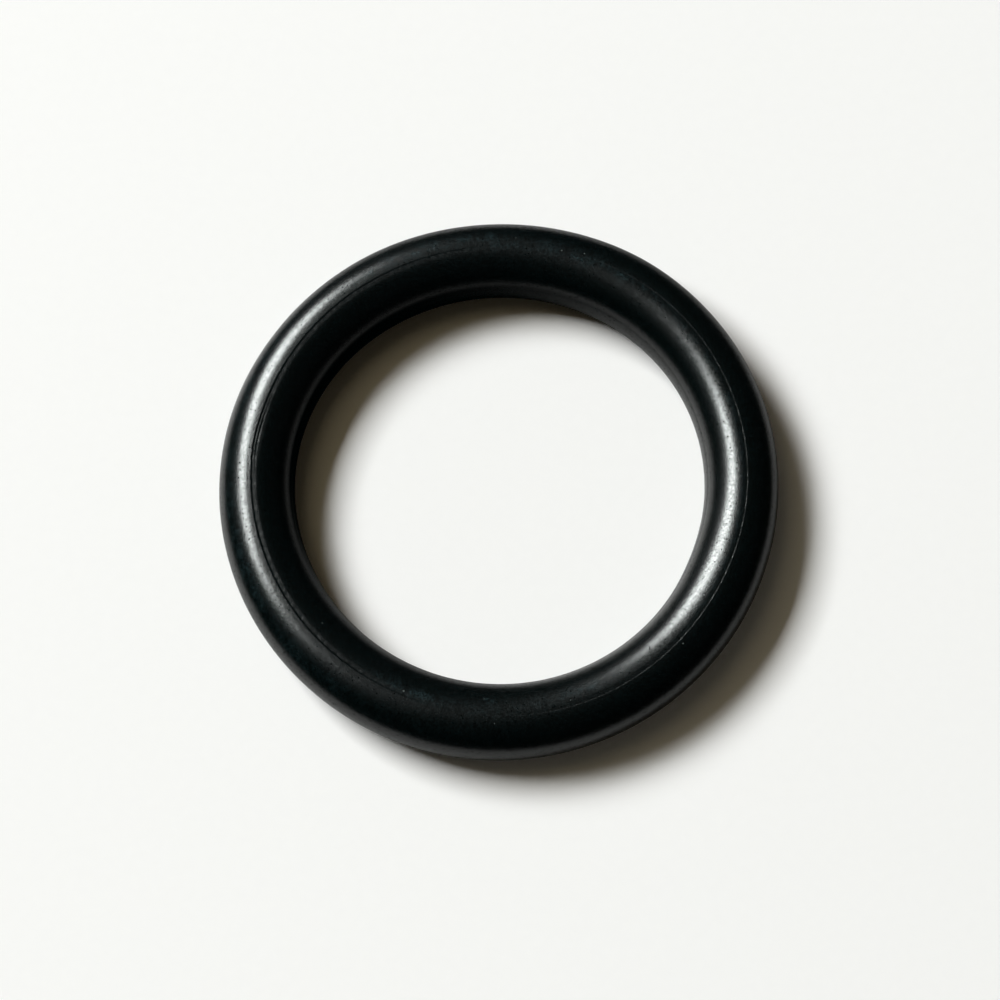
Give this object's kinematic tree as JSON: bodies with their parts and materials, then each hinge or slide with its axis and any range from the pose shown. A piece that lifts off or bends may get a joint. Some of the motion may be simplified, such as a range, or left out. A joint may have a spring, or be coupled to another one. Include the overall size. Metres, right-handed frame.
{
  "type": "rubber o-ring",
  "caption": "Black rubber o-ring of round section for a gland seal, lying flat, with a fine mould parting line near the crest of the tube.",
  "frame": {"origin": "centre of the ring, on the plane that its lowest circle rests on", "axes": "+Z along the ring's axis, straight up from the surface it lies on; the ring is round about Z, so X and Y are any two level directions at right angles"},
  "size_m": [0.03, 0.03, 0.004],
  "materials": {
    "rubber": "satin moulded black rubber with a fine grain, a thin parting line and a few specks of pale dust"
  },
  "bodies": {
    "root": {"o_ring": "rubber"}
  },
  "joints": []
}
